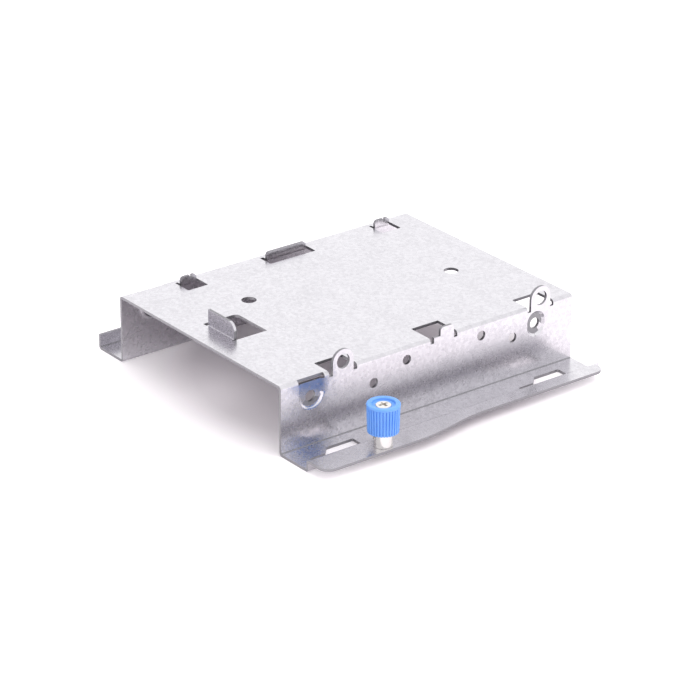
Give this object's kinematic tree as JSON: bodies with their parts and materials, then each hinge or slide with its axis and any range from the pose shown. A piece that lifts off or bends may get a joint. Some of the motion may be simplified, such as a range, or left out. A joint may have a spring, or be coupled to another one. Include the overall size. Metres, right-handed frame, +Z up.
{
  "type": "drive caddy adapter",
  "caption": "Folded sheet-steel bracket that holds a small disk drive under its plate, with flanges, tabs, slots and a captive thumbscrew.",
  "frame": {"origin": "centre of the footprint, in the plane that the flanges stand on", "axes": "+X across the bay to the side with the thumbscrew, +Y along the bay away from the end with the lift tab, +Z up"},
  "size_m": [0.1058, 0.0996, 0.0252],
  "materials": {
    "zinc_sheet": "zinc coated, satin",
    "nickel_plate": "nickel plated, bright",
    "knob_plastic": "moulded, satin",
    "spring_wire": "drawn wire"
  },
  "bodies": {
    "holder": {"bracket": "zinc_sheet", "ferrule": "nickel_plate"},
    "plunger": {"lift_spring": "spring_wire"},
    "thumbscrew": {"thumb_knob": "knob_plastic", "captive_screw": "nickel_plate"}
  },
  "joints": [
    {"name": "screw_press", "type": "slide", "parent": "holder", "child": "plunger", "axis": [0, 0, -1], "range_m": [0, 0.0038], "stiffness_N_per_m": 300, "springref_m": -0.0025, "deforming": ["lift_spring"]},
    {"name": "screw_turn", "type": "hinge", "parent": "plunger", "child": "thumbscrew", "pos_m": [0.04835, -0.02875, 0], "axis": [0, 0, 1], "continuous": true}
  ]
}
